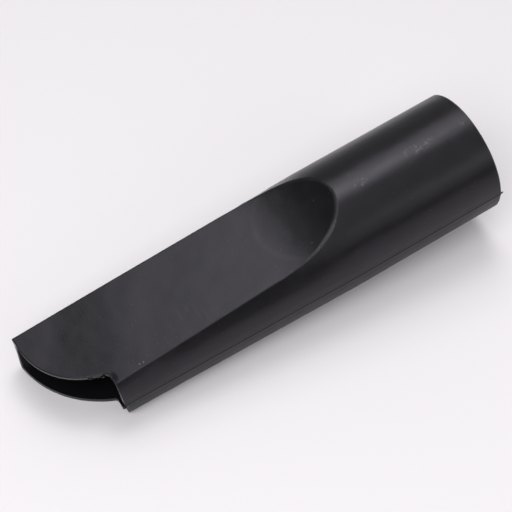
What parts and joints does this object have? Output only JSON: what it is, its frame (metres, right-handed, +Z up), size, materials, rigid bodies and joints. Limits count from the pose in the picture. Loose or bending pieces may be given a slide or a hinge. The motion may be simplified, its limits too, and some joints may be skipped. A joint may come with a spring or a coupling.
{
  "type": "vacuum crevice tool",
  "caption": "One-piece black moulded crevice nozzle: a plain round push-fit socket runs through scooped flats into a narrow, obliquely cut mouth.",
  "frame": {"origin": "on the table, under the middle of the tool's box as it lies at rest", "axes": "+X along the tool towards the socket's open end, +Z up from the table, +Y towards the long side wall"},
  "size_m": [0.1388, 0.0364, 0.0407],
  "materials": {
    "black_plastic": "satin moulded"
  },
  "bodies": {
    "root": {"crevice_tool": "black_plastic"}
  },
  "joints": []
}
